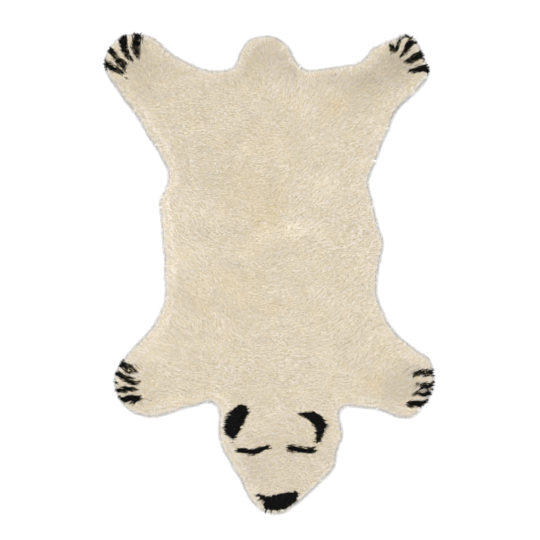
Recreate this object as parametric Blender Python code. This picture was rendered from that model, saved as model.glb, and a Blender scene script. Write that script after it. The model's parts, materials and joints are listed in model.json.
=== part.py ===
"""A child's rug in the shape of a bear hide, laid flat: one piece of wool pile on a ground cloth.

Metres, +Z up. The rug lies on the plane z = 0 with its muzzle towards -Y and its tail towards
+Y, and the middle of its outline's box is on the Z axis.

The outline is a belt run round a table of circles. It bulges round a paw, a cheek or the tail,
hollows round a bay between two limbs, and is straight from one circle to the next. A low ripple
makes it as uneven as a cut pile. The edge is a stack of rings, from the foot up over the soft
shoulder of the pile, and the top is a net of triangles that sinks in a few named troughs.
"""

import math
from typing import NamedTuple

import bmesh
import bpy
from mathutils import Vector
from mathutils.geometry import delaunay_2d_cdt

# Driving dimensions, in metres.
RUG_WIDTH = 1.100
RUG_LENGTH = 1.600
CLOTH_THICKNESS = 0.003
PILE_HEIGHT = 0.025

# How finely the faceted solid follows the shape, in metres.
EDGE_STEP = 0.016
ARC_STEP = 0.002  # the outline's circles are followed this finely before it is spaced evenly
TOP_STEP = 0.034
UNDERSIDE_STEP = 0.110
NET_CLEARANCE = 0.6  # share of a step that the net keeps from the ring round it
WELD_DISTANCE = 1e-6

MM = 0.001


class Bend(NamedTuple):
    """A circle that the outline runs round, in millimetres."""

    name: str
    x: float
    y: float
    radius: float
    bulges: bool  # the rug is inside the circle, as at a paw, and not outside it, as at a bay


BULGE = True
HOLLOW = False

# Counter-clockwise from the tail, seen from above.
OUTLINE = (
    Bend("tail", -12, 692, 98, BULGE),
    Bend("left tail notch", -152, 716, 43, HOLLOW),
    Bend("left rump", -155, 948, 275, HOLLOW),
    Bend("left hind paw", -440, 690, 108, BULGE),
    Bend("left thigh", -505, 455, 85, HOLLOW),
    Bend("left waist", -405, 320, 65, HOLLOW),
    Bend("left hip", -338, 225, 30, BULGE),
    Bend("left foreleg", -536, -52, 188, HOLLOW),
    Bend("left fore paw", -398, -363, 119, BULGE),
    Bend("left armpit", -200, -462, 28, HOLLOW),
    Bend("left cheek", -65, -540, 105, BULGE),
    Bend("muzzle", 20, -703, 100, BULGE),
    Bend("right cheek", 120, -600, 105, BULGE),
    Bend("right cheek notch", 264, -592, 34, HOLLOW),
    Bend("right ear root", 229, -546, 20, BULGE),
    Bend("right armpit", 262, -470, 27, HOLLOW),
    Bend("right foreleg underside", 335, -500, 46, HOLLOW),
    Bend("right fore heel", 450, -432, 56, BULGE),
    Bend("right fore claws", 512, -368, 38, BULGE),
    Bend("right fore knuckle", 500, -305, 42, BULGE),
    Bend("right foreleg", 603, -35, 243, HOLLOW),
    Bend("right flank", 325, 90, 55, BULGE),
    Bend("right waist", 430, 300, 97, HOLLOW),
    Bend("right hock", 505, 480, 95, HOLLOW),
    Bend("right hind paw", 480, 665, 52, BULGE),
    Bend("right hind claws", 450, 735, 55, BULGE),
    Bend("right hind knuckle", 360, 722, 32, BULGE),
    Bend("right rump", 250, 785, 93, HOLLOW),
    Bend("right tail notch", 128, 705, 32, HOLLOW),
)


class Ripple(NamedTuple):
    """One wave of the uneven edge: how many times it goes round the rug, and its height."""

    turns: int
    height_mm: float
    phase: float


RIPPLES = (
    Ripple(turns=19, height_mm=1.6, phase=0.6),
    Ripple(turns=43, height_mm=1.2, phase=2.3),
    Ripple(turns=71, height_mm=0.8, phase=4.1),
)


class EdgeRing(NamedTuple):
    """A ring of the edge, from the foot up: how far it lies inside the outline, and its height."""

    name: str
    inset_mm: float
    share_of_pile: float  # below 0 it is in the ground cloth


FOOT = EdgeRing("foot", 8.0, -1.0)
EDGE_RINGS = (
    EdgeRing("edge of the ground cloth", 5.0, 0.0),
    EdgeRing("tips that lean outwards", 0.0, 0.28),
    EdgeRing("side of the pile", 1.5, 0.60),
    EdgeRing("shoulder of the pile", 7.0, 0.86),
)
CROWN = EdgeRing("crown of the pile", 15.0, 1.0)


class Trough(NamedTuple):
    """A soft line where the pile lies lower, in millimetres, or higher if its depth is negative."""

    name: str
    x: float
    y: float
    half_length: float
    half_width: float
    turned_deg: float
    depth: float


TROUGHS = (
    Trough("crease across the hips", 0, 325, 330, 30, 1, 2.2),
    Trough("crease across the shoulders", 0, -105, 340, 30, 3, 1.8),
    Trough("parting on the back", -105, 385, 55, 24, 61, -1.8),
    Trough("hollow on the right flank", 265, 150, 40, 32, 20, 2.6),
    Trough("hollow beside the parting", -55, 330, 40, 30, 0, 1.6),
    Trough("dip behind the head", 20, -415, 150, 32, 0, 1.6),
    Trough("dip before the tail", -10, 590, 110, 36, 0, 1.8),
    Trough("rise of the muzzle", 25, -655, 70, 60, 90, -1.5),
)

WOOL_COLOUR = (0.74, 0.645, 0.50, 1.0)
WOOL_ROUGHNESS = 0.95


def turned(vector, degrees):
    """The plane vector turned counter-clockwise."""
    angle = math.radians(degrees)
    cosine, sine = math.cos(angle), math.sin(angle)
    return Vector((vector.x * cosine - vector.y * sine, vector.x * sine + vector.y * cosine))


def belt_touch(bend, after):
    """Where the straight belt leaves one circle and where it meets the next."""
    radius = bend.radius if bend.bulges else -bend.radius
    next_radius = after.radius if after.bulges else -after.radius
    span = Vector((after.x - bend.x, after.y - bend.y))
    lean = math.degrees(math.acos((next_radius - radius) / span.length))
    inwards = turned(span.normalized(), lean)
    leaves = Vector((bend.x, bend.y)) - radius * inwards
    meets = Vector((after.x, after.y)) - next_radius * inwards
    return leaves, meets


def arc(bend, start, end, step):
    """Points on the circle from start to end, the way the belt runs."""
    way = 1 if bend.bulges else -1
    begin = math.atan2(start.y - bend.y, start.x - bend.x)
    finish = math.atan2(end.y - bend.y, end.x - bend.x)
    sweep = way * ((way * (finish - begin)) % math.tau)
    count = max(1, math.ceil(abs(sweep) * bend.radius / step))
    points = []
    for i in range(count + 1):
        angle = begin + sweep * i / count
        outwards = Vector((math.cos(angle), math.sin(angle)))
        points.append(Vector((bend.x, bend.y)) + bend.radius * outwards)
    return points


def evenly_spaced(corners, step):
    """Points at equal distances along the closed line through the corners."""
    ends = corners[1:] + corners[:1]
    lengths = [(end - start).length for start, end in zip(corners, ends)]
    count = round(sum(lengths) / step)
    spacing = sum(lengths) / count
    points = []
    gone = 0.0
    for start, end, length in zip(corners, ends, lengths):
        while len(points) < count and len(points) * spacing < gone + length:
            points.append(start.lerp(end, (len(points) * spacing - gone) / length))
        gone += length
    return points


def inward_normals(points):
    """At each point of a counter-clockwise ring, the unit vector that points into it."""
    normals = []
    for i in range(len(points)):
        along = points[(i + 1) % len(points)] - points[i - 1]
        normals.append(Vector((-along.y, along.x)).normalized())
    return normals


def rippled(points):
    """The ring with the uneven edge of a cut pile."""
    moved = []
    for i, (point, inwards) in enumerate(zip(points, inward_normals(points))):
        turn = math.tau * i / len(points)
        depth = sum(r.height_mm * math.sin(r.turns * turn + r.phase) for r in RIPPLES)
        moved.append(point + depth * inwards)
    return moved


def fitted(points):
    """The ring in metres, at the rug's own width and length, with its box centred on the origin."""
    low = Vector((min(p.x for p in points), min(p.y for p in points)))
    high = Vector((max(p.x for p in points), max(p.y for p in points)))
    middle = (low + high) / 2
    scale_x = RUG_WIDTH / (high.x - low.x)
    scale_y = RUG_LENGTH / (high.y - low.y)
    return [Vector(((p.x - middle.x) * scale_x, (p.y - middle.y) * scale_y)) for p in points]


def rug_outline():
    """The rug's widest edge, seen from above, counter-clockwise and evenly spaced."""
    count = len(OUTLINE)
    touches = [belt_touch(OUTLINE[i], OUTLINE[(i + 1) % count]) for i in range(count)]
    corners = []
    for i, bend in enumerate(OUTLINE):
        meets = touches[i - 1][1]
        leaves = touches[i][0]
        corners += arc(bend, meets, leaves, ARC_STEP / MM)
    return fitted(rippled(evenly_spaced(corners, EDGE_STEP / MM)))


def pile_drop(point):
    """How far the top of the pile lies below its full height, in metres.

    Across a trough the depth fades as a bell curve, and along it the bottom is level to near its ends.
    """
    depth = 0.0
    for trough in TROUGHS:
        away = turned(Vector((point.x / MM - trough.x, point.y / MM - trough.y)), -trough.turned_deg)
        along = (away.x / trough.half_length) ** 4
        across = (away.y / trough.half_width) ** 2
        depth += trough.depth * math.exp(-along - across)
    return depth * MM


def inside(point, ring):
    """Whether a plane point lies within a ring."""
    crossings = 0
    for i, end in enumerate(ring):
        start = ring[i - 1]
        if (start.y > point.y) != (end.y > point.y):
            share = (point.y - start.y) / (end.y - start.y)
            crossings += point.x < start.x + share * (end.x - start.x)
    return crossings % 2 == 1


def net_points(ring, step):
    """A triangular net of points within a ring, clear of the ring itself."""
    row_step = step * math.sqrt(3) / 2
    columns = math.ceil(RUG_WIDTH / 2 / step) + 1
    rows = math.ceil(RUG_LENGTH / 2 / row_step)
    clear = NET_CLEARANCE * min(step, 2 * EDGE_STEP)
    points = []
    for row in range(-rows, rows + 1):
        shift = step / 2 if row % 2 else 0.0
        for column in range(-columns, columns + 1):
            point = Vector((column * step + shift, row * row_step))
            if inside(point, ring) and min((point - p).length for p in ring) > clear:
                points.append(point)
    return points


def flat_fill(ring, step):
    """Points within a ring and the triangles that fill it, which number the ring's points first."""
    points = ring + net_points(ring, step)
    border = list(range(len(ring)))
    edges = [(i, (i + 1) % len(ring)) for i in border]
    inside_only = 1
    triangles = delaunay_2d_cdt(points, edges, [border], inside_only, WELD_DISTANCE)[2]
    return points[len(ring):], triangles


def add_ring(mesh, points, height):
    """Vertices round one level of the edge."""
    return [mesh.verts.new((p.x, p.y, height)) for p in points]


def bridge(mesh, lower, upper):
    """Faces between two rings of equal count, which point outwards."""
    count = len(lower)
    for i in range(count):
        after = (i + 1) % count
        mesh.faces.new((lower[i], lower[after], upper[after], upper[i]))


def cover(mesh, ring_verts, inner_verts, triangles, faces_up):
    """The top or the underside, which shares the vertices of the ring round it."""
    verts = ring_verts + inner_verts
    for a, b, c in triangles:
        corners = (verts[a], verts[b], verts[c])
        mesh.faces.new(corners if faces_up else corners[::-1])


def rug_mesh():
    """The closed solid of the rug, from its flat underside to the top of its pile."""
    outline = rug_outline()
    inwards = inward_normals(outline)

    def inset(ring):
        return [p + ring.inset_mm * MM * n for p, n in zip(outline, inwards)]

    mesh = bmesh.new()
    foot_points = inset(FOOT)
    foot = add_ring(mesh, foot_points, 0.0)
    lower = foot
    for ring in EDGE_RINGS:
        upper = add_ring(mesh, inset(ring), CLOTH_THICKNESS + PILE_HEIGHT * ring.share_of_pile)
        bridge(mesh, lower, upper)
        lower = upper

    full_height = CLOTH_THICKNESS + PILE_HEIGHT * CROWN.share_of_pile
    crown_points = inset(CROWN)
    crown = [mesh.verts.new((p.x, p.y, full_height - pile_drop(p))) for p in crown_points]
    bridge(mesh, lower, crown)
    top_points, top_triangles = flat_fill(crown_points, TOP_STEP)
    top = [mesh.verts.new((p.x, p.y, full_height - pile_drop(p))) for p in top_points]
    cover(mesh, crown, top, top_triangles, faces_up=True)

    under_points, under_triangles = flat_fill(foot_points, UNDERSIDE_STEP)
    under = add_ring(mesh, under_points, 0.0)
    cover(mesh, foot, under, under_triangles, faces_up=False)

    bmesh.ops.triangulate(mesh, faces=mesh.faces)
    data = bpy.data.meshes.new("rug")
    mesh.to_mesh(data)
    mesh.free()
    data.shade_smooth()
    return data


def wool():
    """Undyed cream wool."""
    material = bpy.data.materials.new("cream wool")
    material.use_nodes = True
    surface = material.node_tree.nodes["Principled BSDF"]
    surface.inputs["Base Color"].default_value = WOOL_COLOUR
    surface.inputs["Roughness"].default_value = WOOL_ROUGHNESS
    surface.inputs["Metallic"].default_value = 0.0
    return material


def main():
    """The rug alone, in an empty scene."""
    for obj in list(bpy.data.objects):
        bpy.data.objects.remove(obj)
    rug = bpy.data.objects.new("rug", rug_mesh())
    rug.data.materials.append(wool())
    bpy.context.scene.collection.objects.link(rug)


main()
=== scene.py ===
"""Looks for a child's rug in the shape of a bear hide: wool pile that stands on a woven ground cloth.

Metres, +Z up. The rug lies on the floor with its muzzle towards -Y and its tail towards +Y, as its
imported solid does. That solid gives the outline and the height of the pile. Every yarn end is modelled:
it is rooted in a dense lower pile, rises, and leans the way a hand has laid it, gathered into locks.
The claws, ears, eyes and nose are ends of black yarn in the same pile.
"""

import json
import logging
import math
from dataclasses import dataclass, field
from enum import Enum
from typing import Any, Callable, NamedTuple

import bmesh
import bpy
import numpy as np
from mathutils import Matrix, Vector, noise
from mathutils.bvhtree import BVHTree
from mathutils.geometry import delaunay_2d_cdt
from mathutils.kdtree import KDTree

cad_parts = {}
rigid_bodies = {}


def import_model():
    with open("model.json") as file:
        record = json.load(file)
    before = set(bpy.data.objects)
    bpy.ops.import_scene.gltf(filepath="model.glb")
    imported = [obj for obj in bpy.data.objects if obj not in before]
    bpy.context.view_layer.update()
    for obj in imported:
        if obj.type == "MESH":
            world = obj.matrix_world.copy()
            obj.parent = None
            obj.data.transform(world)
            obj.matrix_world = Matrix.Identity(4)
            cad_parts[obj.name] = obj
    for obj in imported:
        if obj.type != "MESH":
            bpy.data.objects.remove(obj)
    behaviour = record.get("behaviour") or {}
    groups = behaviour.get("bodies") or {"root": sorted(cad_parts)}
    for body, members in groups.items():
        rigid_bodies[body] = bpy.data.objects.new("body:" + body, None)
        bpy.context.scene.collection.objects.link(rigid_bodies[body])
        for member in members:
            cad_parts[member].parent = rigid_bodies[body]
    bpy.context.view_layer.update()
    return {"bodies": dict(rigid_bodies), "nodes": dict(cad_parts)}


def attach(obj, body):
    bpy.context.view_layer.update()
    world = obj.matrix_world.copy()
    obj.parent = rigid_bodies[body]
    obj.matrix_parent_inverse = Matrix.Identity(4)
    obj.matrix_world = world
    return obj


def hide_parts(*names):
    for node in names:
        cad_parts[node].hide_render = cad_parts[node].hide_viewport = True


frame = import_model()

RUG_NODE = "rug"
BODY = next(iter(frame["bodies"]))
SEED = 20
MM = 0.001
SAME_POINT = 0.001 * MM
SAME_LEVEL = 0.01 * MM
LEAST_LENGTH = 1e-9
POINTS_AT_ONCE = 2000
INSIDE_ONLY = 1  # the kind of net that keeps to its border

Colour = tuple[float, float, float]
Array = np.ndarray
Socket = bpy.types.NodeSocket

log = logging.getLogger("bear rug")


class Yarn(Enum):
    """The yarns of the pile."""

    CREAM = "cream_wool"
    BLACK = "black_wool"


class Place(Enum):
    """Where black yarn stands in the cream, as the names of the pieces say it."""

    LEFT_HIND_CLAWS = "claws_left_hind"
    RIGHT_HIND_CLAWS = "claws_right_hind"
    LEFT_FORE_CLAWS = "claws_left_fore"
    RIGHT_FORE_CLAWS = "claws_right_fore"
    LEFT_EAR = "ear_left"
    RIGHT_EAR = "ear_right"
    LEFT_EYE = "eye_left"
    RIGHT_EYE = "eye_right"
    NOSE = "nose"


class Band(NamedTuple):
    """A stretch of the cream pile that is one piece, from its lowest Y up, in millimetres."""

    name: str
    from_y: float


BANDS = (
    Band("pile_head", -900),
    Band("pile_forelegs", -455),
    Band("pile_shoulders", -290),
    Band("pile_belly", -90),
    Band("pile_back", 125),
    Band("pile_hips", 345),
    Band("pile_hind_legs", 525),
    Band("pile_hind_paws_and_tail", 640),
)


class Comb(NamedTuple):
    """A place, in millimetres, and the line that a hand has laid its ends along, in degrees from +X."""

    x: float
    y: float
    heading: float


COMBED = (
    Comb(-400, 745, 88),  # left hind paw, inner claw
    Comb(-370, 705, 50),  # left hind paw, heel
    Comb(-450, 673, 135),  # left hind paw, middle claws
    Comb(-490, 630, 155),  # left hind paw, outer claw
    Comb(-330, 520, 172),  # left rump
    Comb(-330, 410, 155),  # left thigh
    Comb(-60, 520, 165),  # rump
    Comb(55, 715, 45),  # tail, right
    Comb(-85, 710, 140),  # tail, left
    Comb(-12, 740, 90),  # tail, end
    Comb(110, 640, 62),  # root of the tail
    Comb(250, 670, 42),  # right rump
    Comb(380, 740, 52),  # right hind leg
    Comb(440, 630, 30),  # right hind paw
    Comb(370, 600, 18),  # right thigh
    Comb(330, 490, 30),  # right hip
    Comb(190, 300, 45),  # right flank, upper
    Comb(230, 150, 15),  # right flank, middle
    Comb(-10, 330, 20),  # back, upper
    Comb(0, 200, 3),  # back, middle
    Comb(95, 200, 35),  # back, right
    Comb(-300, 310, 178),  # left flank, upper
    Comb(-265, 200, 135),  # left flank, middle
    Comb(-210, -75, 140),  # left flank, lower
    Comb(-170, -150, 118),  # left shoulder
    Comb(40, -80, 15),  # chest
    Comb(210, -90, 45),  # right flank, lower
    Comb(-110, -330, 170),  # neck, left
    Comb(110, -330, 5),  # neck, right
    Comb(-430, -230, 140),  # left foreleg, top
    Comb(-350, -300, 158),  # left foreleg, middle
    Comb(-350, -390, 170),  # left foreleg, low
    Comb(-370, -450, 197),  # left foreleg, underside
    Comb(340, -290, 45),  # right foreleg, middle
    Comb(400, -205, 25),  # right foreleg, top
    Comb(470, -370, 40),  # right fore paw, by the claws
    Comb(430, -460, -10),  # right fore paw, underside
    Comb(-60, -480, 213),  # forehead, left
    Comb(100, -485, -38),  # forehead, right
    Comb(-50, -520, 188),  # brow, left
    Comb(90, -520, -12),  # brow, right
    Comb(-110, -600, 165),  # cheek, left
    Comb(160, -600, 25),  # cheek, right
    Comb(-60, -640, 185),  # jaw, left
    Comb(120, -640, -10),  # jaw, right
    Comb(-30, -675, 207),  # muzzle, left
    Comb(100, -680, -25),  # muzzle, right
    Comb(25, -770, 262),  # end of the muzzle
)


Station = tuple[float, float, float]  # x, y and the stroke's width there, in millimetres
Stroke = tuple[Station, ...]

# The black marks, each drawn as strokes through a few stations.
MARKS: dict[Place, tuple[Stroke, ...]] = {
    Place.LEFT_HIND_CLAWS: (
        ((-436, 800, 18), (-435, 775, 29), (-441, 750, 31), (-433, 722, 19)),
        ((-477, 788, 16), (-482, 766, 30), (-480, 745, 26), (-468, 722, 18), (-448, 702, 5)),
        ((-534, 742, 12), (-520, 736, 18), (-510, 716, 22), (-496, 702, 20), (-474, 687, 8)),
        ((-545, 708, 7), (-540, 696, 11), (-528, 688, 20), (-514, 672, 18), (-490, 662, 14), (-472, 645, 6)),
        ((-537, 692, 5), (-538, 676, 5)),
    ),
    Place.RIGHT_HIND_CLAWS: (
        ((399, 755, 9), (405, 744, 24), (418, 741, 18), (425, 760, 10),
         (432, 776, 12), (450, 786, 12), (466, 777, 8)),
        ((484, 762, 9), (470, 765, 15), (458, 752, 22), (445, 735, 15), (438, 719, 6)),
        ((506, 736, 17), (498, 721, 28), (480, 715, 21), (462, 702, 14), (449, 692, 5)),
        ((524, 670, 18), (508, 678, 25), (488, 675, 18), (466, 671, 10), (454, 666, 5)),
    ),
    Place.LEFT_FORE_CLAWS: (
        ((-498, -298, 16), (-480, -300, 23), (-462, -311, 22), (-446, -314, 13), (-436, -319, 6)),
        ((-489, -270, 5), (-482, -284, 9)),
        ((-512, -330, 13), (-496, -328, 18), (-482, -344, 20), (-464, -351, 19),
         (-447, -361, 12), (-431, -359, 5)),
        ((-518, -348, 6), (-511, -357, 9), (-499, -360, 5)),
        ((-517, -384, 6), (-500, -385, 16), (-480, -380, 18), (-458, -378, 16), (-442, -380, 8)),
        ((-496, -404, 8), (-489, -411, 12), (-475, -413, 22), (-450, -411, 26), (-430, -409, 17)),
    ),
    Place.RIGHT_FORE_CLAWS: (
        ((481, -329, 17), (500, -325, 15), (520, -324, 17), (542, -322, 20)),
        ((490, -362, 11), (505, -365, 20), (522, -371, 13), (535, -365, 15), (546, -357, 12)),
        ((520, -374, 6), (521, -386, 9)),
        ((476, -394, 7), (488, -390, 13), (505, -399, 14), (522, -394, 16), (538, -395, 9)),
        ((544, -385, 6), (547, -386, 6)),
        ((462, -429, 17), (475, -428, 21), (500, -428, 25), (516, -424, 18), (529, -419, 7)),
    ),
    Place.LEFT_EAR: (
        ((-98, -437, 18), (-92, -452, 44), (-104, -470, 56), (-120, -490, 60),
         (-124, -512, 52), (-120, -532, 30)),
    ),
    Place.RIGHT_EAR: (
        ((103, -460, 8), (122, -464, 20), (143, -470, 34), (162, -484, 42),
         (170, -504, 36), (167, -525, 27), (162, -543, 18), (158, -557, 8)),
    ),
    Place.LEFT_EYE: (
        ((-100, -581, 16), (-85, -581, 20), (-65, -585, 18), (-42, -583, 21),
         (-22, -577, 15), (-10, -571, 13), (-4, -569, 8)),
    ),
    Place.RIGHT_EYE: (
        ((66, -573, 14), (82, -575, 19), (100, -580, 18), (120, -583, 16), (138, -582, 16), (150, -580, 10)),
    ),
    Place.NOSE: (
        ((-38, -728, 6), (-20, -737, 20), (0, -752, 46), (25, -752, 54),
         (50, -748, 55), (68, -740, 45), (84, -730, 25)),
        ((-8, -768, 20), (15, -768, 24)),
    ),
}


class Patch(NamedTuple):
    """A soft oval of the cream wool, in millimetres: below 0 darker or greyer, above it lighter or warmer;
    some ovals are painted shade or painted light.
    """

    x: float
    y: float
    half_x: float
    half_y: float
    turned_deg: float
    light: float
    warm: float


# Besides tones of the wool, the patches noted as shade are painted shade, and the pale left edge is painted
# light.
PATCHES = (
    Patch(360, 655, 125, 75, 35, -1.9, 0.08),  # brown right hind leg
    Patch(300, 600, 80, 40, 50, -0.45, 0.08),  # brown thigh
    Patch(440, 700, 70, 65, 0, -1.5, 0.0),  # brown right hind paw
    Patch(-15, 715, 85, 70, 0, -1.9, 0.08),  # brown middle of the tail
    Patch(-75, 665, 32, 32, 0, -0.9, 0.0),  # shade where the tail begins, left
    Patch(72, 668, 36, 36, 0, -0.9, 0.0),  # shade where the tail begins, right
    Patch(190, 655, 70, 30, 20, -0.8, 0.0),  # shade along the right rump
    Patch(-220, 660, 120, 28, -10, -0.8, 0.0),  # shade along the left rump
    Patch(-440, 690, 95, 95, 0, -1.8, 0.08),  # brown left hind paw
    Patch(-330, 700, 60, 30, -25, -0.4, 0.0),  # left hind leg, edge
    Patch(-460, -370, 60, 100, 0, -1.3, 0.0),  # brown left fore paw
    Patch(440, -375, 90, 90, 0, -1.5, 0.0),  # brown right fore paw
    Patch(350, -365, 32, 45, 0, -0.1, 0.4),  # warm spot on the right fore paw
    Patch(20, -620, 230, 130, 0, -0.85, -0.13),  # grey head
    Patch(20, -540, 60, 40, 0, 0.2, 0.0),  # pale brow
    Patch(60, -650, 60, 30, 0, 0.35, 0.0),  # pale muzzle
    Patch(-20, 260, 85, 120, -15, -0.1, 0.4),  # warm stripe on the back
    Patch(-90, 400, 60, 60, 0, 0.0, 0.24),  # warm shoulder
    Patch(-90, -20, 160, 60, 0, 0.1, 0.26),  # warm patch on the belly
    Patch(-100, -110, 230, 32, 3, -0.45, 0.22),  # warm band before the shoulders
    Patch(250, 580, 130, 22, 40, -0.1, 0.24),  # warm line on the right thigh
    Patch(225, 555, 30, 38, 0, -0.1, 0.32),  # warm spot on the right thigh
    Patch(-88, 402, 11, 48, -31, 0.9, -0.16),  # pale parting on the back
    Patch(-10, 405, 60, 34, 0, 0.5, 0.0),  # pale beside the parting
    Patch(70, 148, 95, 28, 8, 1.0, 0.0),  # pale streak on the back
    Patch(-260, 150, 110, 100, 0, 0.35, -0.19),  # pale left flank
    # Painted light on the left edge, the side towards the lamp.
    Patch(-365, 60, 40, 230, 0, 0.5, -0.08),  # pale left edge
    Patch(190, 300, 90, 60, 0, 0.3, -0.22),  # pale right flank
    Patch(230, 80, 120, 60, 0, 0.3, -0.08),  # pale right flank, lower
    Patch(-10, 270, 70, 60, 0, -0.15, 0.0),  # shade on the spine
    # Painted shade in a hollow on the right flank.
    Patch(268, 154, 14, 12, 0, -1.0, 0.16),  # dark hollow on the right flank
    Patch(-200, 315, 130, 18, 4, -0.4, 0.0),  # shade below the hips
    Patch(20, -250, 260, 90, 0, 0.15, -0.03),  # pale chest
)


def unit(vectors: Array) -> Array:
    """The vectors at length one."""
    return vectors / np.maximum(np.linalg.norm(vectors, axis=-1, keepdims=True), LEAST_LENGTH)


def turned(vectors: Array, angles: Array | float) -> Array:
    """Plane vectors turned counter-clockwise.

    Args:
        vectors: Rows of x and y.
        angles: One angle in radians for each row, or one for all.

    Returns:
        The turned rows.
    """
    cosine, sine = np.cos(angles), np.sin(angles)
    x, y = vectors[:, 0], vectors[:, 1]
    return np.stack((x * cosine - y * sine, x * sine + y * cosine), axis=1)


def smooth_step(values: Array, low: float, high: float) -> Array:
    """From 0 at low to 1 at high, level at both ends."""
    share = np.clip((values - low) / (high - low), 0.0, 1.0)
    return share * share * (3.0 - 2.0 * share)


class Drift(NamedTuple):
    """A smooth noise over the rug: its swing, how far apart its hills are, and which of many noises it is."""

    swing: float
    size: float
    layer: float

    def at(self, points: Array) -> Array:
        """Its value at plane points, up to about half the swing either way."""
        steps = ((x / self.size, y / self.size, self.layer) for x, y in points)
        return self.swing * np.array([noise.noise(Vector(step)) for step in steps])


def net_points(low: Array, high: Array, step: float, jitter: float, rng: np.random.Generator) -> Array:
    """A triangular net of points over a box, each moved a little.

    Args:
        low: The box's lowest x and y.
        high: Its highest x and y.
        step: The distance between neighbours.
        jitter: How far a point may move along each axis, as a share of step.
        rng: The source of the moves.

    Returns:
        Rows of x and y.
    """
    row_step = step * math.sqrt(3) / 2
    rows = np.arange(math.floor(low[1] / row_step), math.ceil(high[1] / row_step) + 1)
    columns = np.arange(math.floor(low[0] / step), math.ceil(high[0] / step) + 1)
    column, row = np.meshgrid(columns, rows)
    points = np.stack(((column + 0.5 * (row % 2)) * step, row * row_step), axis=-1).reshape(-1, 2)
    return points + rng.uniform(-jitter, jitter, points.shape) * step


class RugShape:
    """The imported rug, read for its outline and for how high its pile reaches."""

    def __init__(self, node: bpy.types.Object) -> None:
        """Reads a merged copy of the node's loose triangles.

        Args:
            node: The rug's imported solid, which stays as it is.
        """
        self.solid = bmesh.new()
        self.solid.from_mesh(node.data)
        bmesh.ops.remove_doubles(self.solid, verts=self.solid.verts, dist=SAME_POINT)
        self.surface = BVHTree.FromBMesh(self.solid)
        self.edge_level, self.ring = self._widest_ring()
        self.next = np.roll(self.ring, -1, axis=0)
        along = unit(self.next - self.ring)
        side = np.stack((along[:, 1], -along[:, 0]), axis=1)
        self.outward = unit(side + np.roll(side, 1, axis=0))
        self.low, self.high = self.ring.min(axis=0), self.ring.max(axis=0)
        self.full_height = max(v.co.z for v in self.solid.verts)

    def _widest_ring(self) -> tuple[float, Array]:
        """Walks round the pile's widest edge.

        Returns:
            Its level, and its points, counter-clockwise.
        """
        start = max(self.solid.verts, key=lambda v: v.co.x)
        level = start.co.z
        ring, last = [start], None
        while True:
            here = ring[-1]
            beside = [e.other_vert(here) for e in here.link_edges]
            ahead = [v for v in beside if abs(v.co.z - level) < SAME_LEVEL and v is not last]
            if last is None:
                ahead = [max(ahead, key=lambda v: v.co.y)]
            if ahead[0] is start:
                break
            last = here
            ring.append(ahead[0])
        return level, np.array([v.co.xy for v in ring])

    def edge(self, points: Array) -> tuple[Array, Array]:
        """How far points lie inside the outline, and which way is out.

        Args:
            points: Rows of x and y.

        Returns:
            The distance of each, below 0 outside, and the outward direction where the outline is nearest.
        """
        distances, directions = [], []
        span = self.next - self.ring
        for part in np.array_split(points, max(1, len(points) // POINTS_AT_ONCE)):
            from_start = part[:, None, :] - self.ring[None]
            share = np.clip((from_start * span).sum(-1) / (span * span).sum(-1), 0, 1)
            gap = np.linalg.norm(from_start - share[..., None] * span, axis=-1)
            nearest = gap.argmin(axis=1)
            rows = np.arange(len(part))
            # A line from an inside point towards +X crosses the outline an odd number of times.
            crosses = (self.ring[:, 1] > part[:, 1, None]) != (self.next[:, 1] > part[:, 1, None])
            height = np.where(span[:, 1] == 0, 1.0, span[:, 1])
            reach = self.ring[:, 0] + (part[:, 1, None] - self.ring[:, 1]) / height * span[:, 0]
            inside = (crosses & (part[:, 0, None] < reach)).sum(axis=1) % 2 == 1
            distances.append(np.where(inside, 1.0, -1.0) * gap[rows, nearest])
            mix = share[rows, nearest][:, None]
            after = (nearest + 1) % len(self.ring)
            directions.append(unit(self.outward[nearest] * (1 - mix) + self.outward[after] * mix))
        return np.concatenate(distances), np.concatenate(directions)

    def top(self, points: Array) -> Array:
        """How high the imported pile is.

        Args:
            points: Rows of x and y.

        Returns:
            The height at each, which is the widest edge's height outside the outline.
        """
        down, start = Vector((0, 0, -1)), 2 * self.full_height
        hits = [self.surface.ray_cast(Vector((x, y, start)), down)[0] for x, y in points]
        return np.array([self.edge_level if hit is None else hit.z for hit in hits])

    def inset(self, distance: float) -> Array:
        """The outline drawn in by a distance."""
        return self.ring - distance * self.outward


@dataclass
class CombField:
    """The line that the pile's ends lie along at any place, and the end of it that most tips fall towards."""

    strokes: tuple[Comb, ...]
    near: float = 26 * MM
    fade: float = 3.2
    towards_deg: float = 15.0

    def line(self, points: Array) -> Array:
        """The direction of the line at plane points, shorter than one where strokes that disagree meet.

        Args:
            points: Rows of x and y.

        Returns:
            One direction for each.
        """
        doubled = 2 * np.radians([s.heading for s in self.strokes])
        total, mean = np.zeros(len(points)), np.zeros(len(points), complex)
        for stroke, angle in zip(self.strokes, doubled):
            gap = np.hypot(points[:, 0] - stroke.x * MM, points[:, 1] - stroke.y * MM)
            weight = (gap / self.near + 1.0) ** -self.fade
            total += weight
            mean += weight * np.exp(1j * angle)
        mean /= total
        half = np.angle(mean) / 2
        half += np.where(np.cos(half - math.radians(self.towards_deg)) < 0, math.pi, 0.0)
        return np.abs(mean)[:, None] * np.stack((np.cos(half), np.sin(half)), axis=1)


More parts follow.
